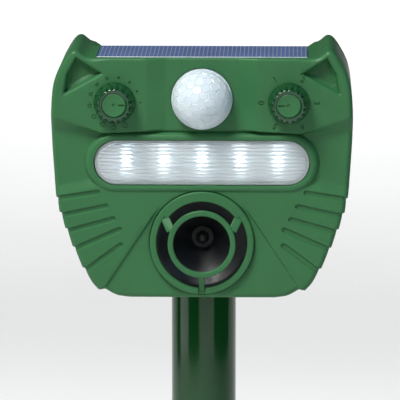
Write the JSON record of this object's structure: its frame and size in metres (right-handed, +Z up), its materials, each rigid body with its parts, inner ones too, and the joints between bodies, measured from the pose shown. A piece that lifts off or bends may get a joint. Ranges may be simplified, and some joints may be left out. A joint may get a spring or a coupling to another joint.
{
  "type": "solar ultrasonic animal repeller",
  "caption": "Eared sensor head with solar panel, lamp, motion sensor, horn speaker and two dials, push-fitted on a staked ground pole.",
  "frame": {"origin": "on the pole's axis at the underside of the stake's collar, which is ground level", "axes": "+Z up along the pole, -Y out of the face with the lamp and the speaker, +X to the right of someone who looks at the face"},
  "size_m": [0.1468, 0.0792, 0.4424],
  "materials": {
    "moulded_green": "satin moulded ABS",
    "knob_green": "glossy moulded ABS",
    "pole_green": "glossy extruded plastic",
    "black_plastic": "moulded",
    "steel": "plated",
    "brass": "rolled",
    "rubber": "moulded",
    "circuit_board": "solder mask",
    "battery_wrap": "shrink film",
    "milky_lens": "milky polyethylene with moulded facets",
    "clear_lens": "clear ribbed plastic",
    "reflector": "metallised",
    "led": "white epoxy",
    "solar_glass": "laminate",
    "silicon": "coated silicon"
  },
  "bodies": {
    "pole": {"ground_stake": "pole_green", "pole_lower": "pole_green", "pole_upper": "pole_green"},
    "sensitivity_knob": {"sensitivity_knob": "knob_green", "sensitivity_shaft": "steel"},
    "mode_knob": {"mode_knob": "knob_green", "mode_shaft": "steel"},
    "usb_cover": {"usb_cover": "rubber"},
    "head": {"front_shell": "moulded_green", "rear_shell": "moulded_green", "solar_tray": "moulded_green", "speaker_grille": "moulded_green", "battery_door": "moulded_green", "speaker_horn": "black_plastic", "phase_plug": "black_plastic", "battery_tray": "black_plastic", "control_chip": "black_plastic", "sensitivity_dial": "black_plastic", "mode_dial": "black_plastic", "sensor_can": "steel", "driver_cup": "steel", "door_screw_left": "steel", "door_screw_right": "steel", "usb_socket": "steel", "contact_strip_left": "steel", "contact_strip_right": "steel", "board_screw_left": "steel", "board_screw_right": "steel", "case_screw_1": "steel", "case_screw_2": "steel", "case_screw_3": "steel", "case_screw_4": "steel", "piezo_disc": "brass", "step_up_coil": "brass", "shell_gasket": "rubber", "sensor_gasket": "rubber", "sensitivity_seal": "rubber", "mode_seal": "rubber", "lamp_board": "circuit_board", "main_board": "circuit_board", "charge_board": "circuit_board", "battery_cell_1": "battery_wrap", "battery_cell_2": "battery_wrap", "battery_cell_3": "battery_wrap", "sensor_dome": "milky_lens", "lamp_lens": "clear_lens", "lamp_reflector": "reflector", "led_1": "led", "led_2": "led", "led_3": "led", "led_4": "led", "led_5": "led", "solar_glass": "solar_glass", "solar_cells": "silicon"}
  },
  "joints": [
    {"name": "head_swivel", "type": "hinge", "parent": "pole", "child": "head", "pos_m": [0, 0, 0.2], "axis": [0, 0, 1], "continuous": true},
    {"name": "sensitivity_turn", "type": "hinge", "parent": "head", "child": "sensitivity_knob", "pos_m": [-0.0422, -0.044, 0.2968], "axis": [0, -1, 0], "range_deg": [0, 295]},
    {"name": "mode_turn", "type": "hinge", "parent": "head", "child": "mode_knob", "pos_m": [0.0422, -0.044, 0.2968], "axis": [0, 1, 0], "range_deg": [0, 300]},
    {"name": "usb_cover_hinge", "type": "hinge", "parent": "head", "child": "usb_cover", "pos_m": [-0.033, 0.021, 0.2173], "axis": [-1, 0, 0], "range_deg": [0, 120]}
  ]
}
